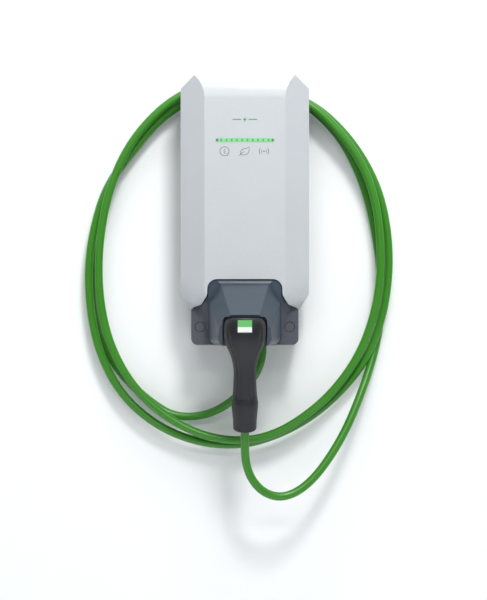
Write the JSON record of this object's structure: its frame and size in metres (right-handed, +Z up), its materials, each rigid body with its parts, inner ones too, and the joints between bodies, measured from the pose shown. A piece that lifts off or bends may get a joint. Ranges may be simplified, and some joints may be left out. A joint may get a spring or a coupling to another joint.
{
  "type": "ev charging box",
  "caption": "Wall-mounted EV charging box: bevelled white cover, dark console, plug holder, parked connector and a green tethered cable wound over the box.",
  "frame": {"origin": "centre of the four wall-bolt holes, in the wall's plane", "axes": "+Z up, -Y straight out from the wall towards the user, +X to the right as seen from the front"},
  "size_m": [0.4518, 0.1718, 0.6159],
  "materials": {
    "cover_white": "fine satin moulded texture",
    "light_bar": "translucent diffuser",
    "grey_plastic": "fine moulded texture",
    "slate_plastic": "satin moulded",
    "black_plastic": "moulded",
    "connector_plastic": "satin moulded",
    "steel": "zinc plated",
    "brass_spacer": "turned",
    "silvered_brass": "silver plated",
    "can_aluminium": "drawn",
    "core_iron": "laminated core",
    "circuit_board": "solder mask",
    "terminal_grey": "moulded",
    "lamp_lens": "clear lens",
    "label_green": "printed foil",
    "label_white": "printed foil",
    "black_rubber": "matt",
    "cable_green": "satin cable sheath",
    "core_insulation": "insulated conductors"
  },
  "bodies": {
    "housing": {"wall_bracket": "steel", "rear_housing": "grey_plastic", "bracket_screws": "steel", "supply_grommet": "black_rubber", "tray_gasket": "black_rubber", "inner_lid": "grey_plastic", "lid_screws": "steel", "cover_catches": "grey_plastic", "power_board": "circuit_board", "power_board_spacers": "brass_spacer", "control_board": "circuit_board", "control_board_spacers": "brass_spacer", "board_screws": "steel", "relays": "black_plastic", "transformer": "core_iron", "capacitors": "can_aluminium", "residual_current_sensor": "black_plastic", "supply_terminal_block": "terminal_grey", "terminal_screws": "steel", "network_socket": "can_aluminium", "control_chips": "black_plastic", "led_board": "circuit_board", "leds": "lamp_lens", "card_reader_board": "circuit_board", "lower_console": "grey_plastic", "console_screws": "steel", "screw_caps": "grey_plastic", "plug_holder": "slate_plastic", "holder_screws": "steel", "cable_boot": "black_rubber", "cable_sheath_end": "cable_green", "cable_clamp": "black_plastic", "clamp_screws": "steel", "conductors": "core_insulation", "cable_lead": "cable_green", "cable_coil": "cable_green", "cable_tail": "cable_green"},
    "cover": {"front_cover": "cover_white", "light_bar": "light_bar"},
    "plug": {"connector_front_shell": "connector_plastic", "connector_rear_shell": "connector_plastic", "connector_nose": "black_plastic", "contact_carrier": "black_plastic", "contacts": "silvered_brass", "cable_nut": "connector_plastic", "label_green": "label_green", "label_white": "label_white", "shell_screws": "steel"}
  },
  "joints": [
    {"name": "plug_pull", "type": "slide", "parent": "housing", "child": "plug", "axis": [0, -0.9397, -0.342], "range_m": [0, 0.07], "deforming": ["cable_tail"]},
    {"name": "cover_off", "type": "slide", "parent": "housing", "child": "cover", "axis": [0, -1, 0], "range_m": [0, 0.06]}
  ]
}
